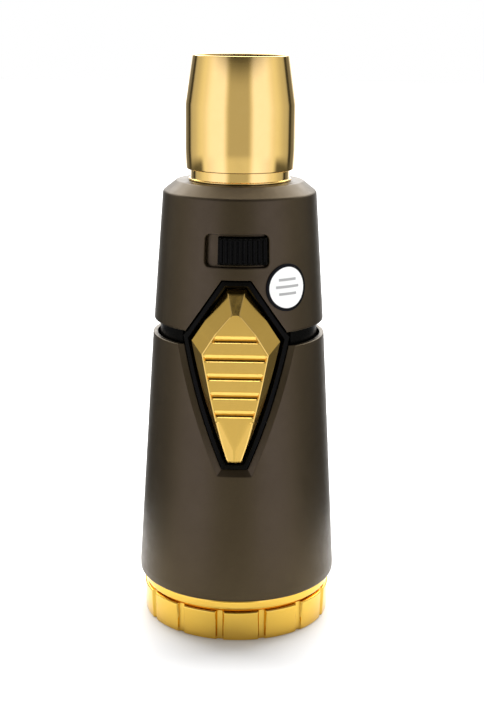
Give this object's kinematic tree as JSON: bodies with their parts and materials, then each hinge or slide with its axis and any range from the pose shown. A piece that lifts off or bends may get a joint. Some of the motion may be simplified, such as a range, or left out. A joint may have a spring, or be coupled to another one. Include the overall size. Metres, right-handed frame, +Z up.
{
  "type": "butane torch lighter",
  "caption": "Refillable jet torch lighter: tapered two-part body, gold flame guard, faceted trigger, slide lock and knurled flame-adjuster foot ring.",
  "frame": {"origin": "on the ground under the middle of the adjuster ring", "axes": "+Z up along the flame, -Y towards the trigger, +X to the user's right when facing the trigger"},
  "size_m": [0.0532, 0.0532, 0.15],
  "materials": {
    "body_paint": "satin",
    "gold_metal": "polished",
    "gold_plastic": "polished",
    "black_plastic": "satin",
    "chassis_plastic": "matte",
    "tank_plastic": "gloss",
    "igniter_plastic": "matte",
    "brass": "machined",
    "steel": "brushed",
    "rubber": "matte",
    "ceramic": "matte",
    "wire_insulation": "matte",
    "label_paper": "matte"
  },
  "bodies": {
    "body": {"upper_shell": "body_paint", "lower_shell": "body_paint", "waist_band": "black_plastic", "trigger_bezel": "black_plastic", "flame_guard": "gold_metal", "guard_collar": "gold_metal", "round_label": "label_paper", "trigger_pin": "steel", "lock_plate": "body_paint", "chassis_left": "chassis_plastic", "chassis_right": "chassis_plastic", "chassis_screw_1": "steel", "chassis_screw_2": "steel", "chassis_screw_3": "steel", "piezo_body": "igniter_plastic", "piezo_contact": "brass", "ignition_wire": "wire_insulation", "electrode_insulator": "ceramic", "spark_electrode": "steel", "tank_cup": "tank_plastic", "tank_base": "chassis_plastic", "tank_seal": "rubber", "flow_tube": "brass", "refill_valve_body": "brass", "refill_spring": "steel", "outlet_valve_body": "brass", "stem_seal": "rubber", "valve_spring": "steel", "rocker_pin": "steel", "gas_hose": "rubber", "jet_holder": "brass", "gas_jet": "brass", "mixing_tube": "steel", "burner_head": "steel", "flame_holder": "brass", "heat_shield": "steel"},
    "trigger": {"trigger_button": "gold_plastic", "trigger_lever": "black_plastic", "trigger_spring": "steel"},
    "igniter_plunger": {"piezo_plunger": "black_plastic"},
    "rocker": {"valve_rocker": "steel"},
    "valve_stem": {"valve_stem": "steel"},
    "refill_stem": {"refill_stem": "brass"},
    "lock": {"lock_slider": "black_plastic", "lock_catch": "black_plastic"},
    "adjuster": {"adjuster_ring": "gold_metal", "adjuster_hub": "chassis_plastic", "hub_screw": "steel", "flow_screw": "brass"}
  },
  "joints": [
    {"name": "trigger_press", "type": "hinge", "parent": "body", "child": "trigger", "pos_m": [0, -0.01899, 0.047], "axis": [-1, 0, 0], "range_deg": [0, 7.5], "stiffness_Nm_per_rad": 4},
    {"name": "igniter_plunge", "type": "slide", "parent": "body", "child": "igniter_plunger", "axis": [0, 1, 0], "range_m": [0, 0.0046]},
    {"name": "rocker_tilt", "type": "hinge", "parent": "body", "child": "rocker", "pos_m": [0, -0.004, 0.054], "axis": [1, 0, 0], "range_deg": [0, 12.4]},
    {"name": "stem_lift", "type": "slide", "parent": "body", "child": "valve_stem", "axis": [0, 0, 1], "range_m": [0, 0.00091], "deforming": ["valve_spring"]},
    {"name": "refill_push", "type": "slide", "parent": "body", "child": "refill_stem", "axis": [0, 0, 1], "range_m": [0, 0.0015], "stiffness_N_per_m": 900, "deforming": ["refill_spring"]},
    {"name": "lock_slide", "type": "hinge", "parent": "body", "child": "lock", "pos_m": [0, 0, 0.103], "axis": [0, 0, -1], "range_deg": [0, 8.2]},
    {"name": "flame_adjust", "type": "hinge", "parent": "body", "child": "adjuster", "pos_m": [0, 0, 0], "axis": [0, 0, 1], "range_deg": [-45, 45]}
  ],
  "couplings": [
    {"joint": "igniter_plunge", "follows": "trigger_press", "m_per_rad": 0.035},
    {"joint": "rocker_tilt", "follows": "trigger_press", "ratio": 1.65},
    {"joint": "stem_lift", "follows": "trigger_press", "m_per_rad": 0.0069}
  ]
}
